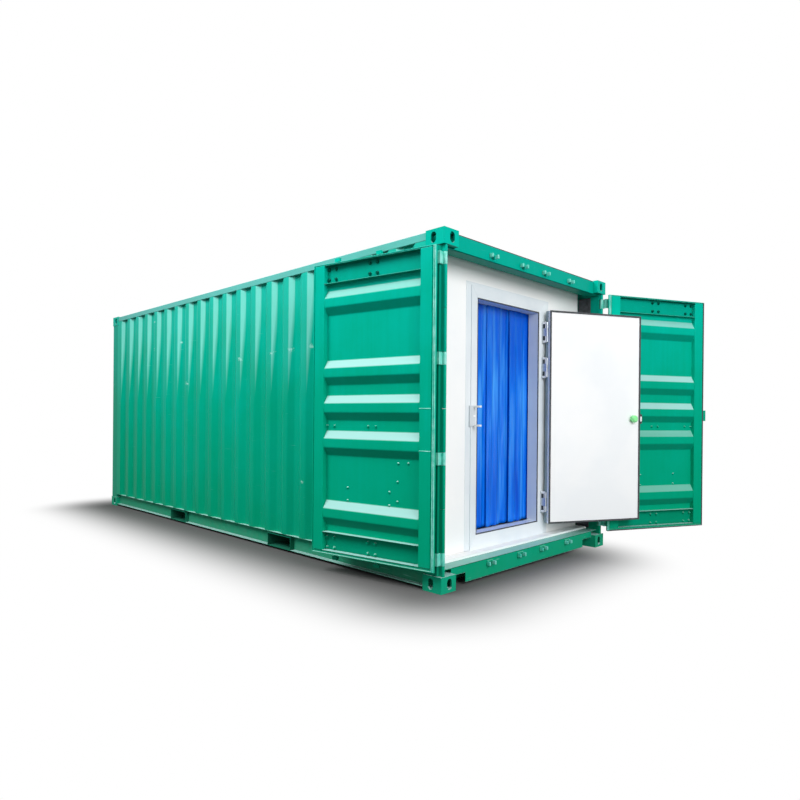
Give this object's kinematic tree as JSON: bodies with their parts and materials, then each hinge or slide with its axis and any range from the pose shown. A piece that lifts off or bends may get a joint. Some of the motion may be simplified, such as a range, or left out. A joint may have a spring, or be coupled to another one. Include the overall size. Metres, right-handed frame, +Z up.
{
  "type": "shipping container cabin",
  "caption": "Green steel freight container made into an insulated cold room, with swung-open cargo doors, a white bulkhead, an insulated door and a blue strip curtain.",
  "frame": {"origin": "middle of the footprint of the corner castings, on the ground", "axes": "+X along the container towards its door end, +Y across it, +Z up"},
  "size_m": [6.6635, 3.704, 2.591],
  "materials": {
    "green_paint": "semi-gloss container paint",
    "white_panel": "coated steel skin of a sandwich panel",
    "black_rubber": "moulded",
    "painted_rubber": "moulded, sprayed over with the container paint",
    "zinc_steel": "zinc plated",
    "plywood": "marine plywood",
    "blue_pvc": "clear blue soft PVC",
    "release_plastic": "moulded green"
  },
  "bodies": {
    "container": {"bottom_castings": "green_paint", "top_castings": "green_paint", "base_rails": "green_paint", "cross_members": "green_paint", "fork_pockets": "green_paint", "door_sill": "green_paint", "end_sill": "green_paint", "door_header": "green_paint", "end_header": "green_paint", "top_rails": "green_paint", "door_posts": "green_paint", "end_posts": "green_paint", "side_walls": "green_paint", "end_wall": "green_paint", "roof": "green_paint", "floor": "plywood", "hinge_lugs": "green_paint", "cam_keepers": "green_paint", "threshold": "white_panel", "cold_floor": "white_panel", "side_linings": "white_panel", "end_lining": "white_panel", "ceiling": "white_panel", "bulkhead_sides": "white_panel", "bulkhead_head": "white_panel", "door_frame": "white_panel", "strike_plate": "zinc_steel", "frame_hinges": "zinc_steel", "curtain_rail": "zinc_steel", "strip_curtain": "blue_pvc"},
    "left_door": {"left_stiles": "green_paint", "left_channels": "green_paint", "left_panel": "green_paint", "left_gasket": "painted_rubber", "left_blades": "green_paint", "left_lock_gear": "green_paint"},
    "right_door": {"right_stiles": "green_paint", "right_channels": "green_paint", "right_panel": "green_paint", "right_gasket": "painted_rubber", "right_blades": "green_paint", "right_lock_gear": "green_paint"},
    "inner_door": {"inner_leaf": "white_panel", "inner_gasket": "black_rubber", "inner_hinges": "zinc_steel", "inner_latch": "zinc_steel", "release_knob": "release_plastic"}
  },
  "joints": [
    {"name": "left_door_hinge", "type": "hinge", "parent": "container", "child": "left_door", "pos_m": [3.009, -1.18, 1.3], "axis": [0, 0, -1], "range_deg": [-261, 2]},
    {"name": "inner_door_hinge", "type": "hinge", "parent": "container", "child": "inner_door", "pos_m": [2.815, 0.496, 1.26], "axis": [0, 0, 1], "range_deg": [-152, 0]},
    {"name": "right_door_hinge", "type": "hinge", "parent": "container", "child": "right_door", "pos_m": [3.009, 1.18, 1.3], "axis": [0, 0, 1], "range_deg": [-153, 110]}
  ],
  "couplings": [
    {"joint": "right_door_hinge", "follows": "inner_door_hinge", "ratio": 1.0065}
  ]
}
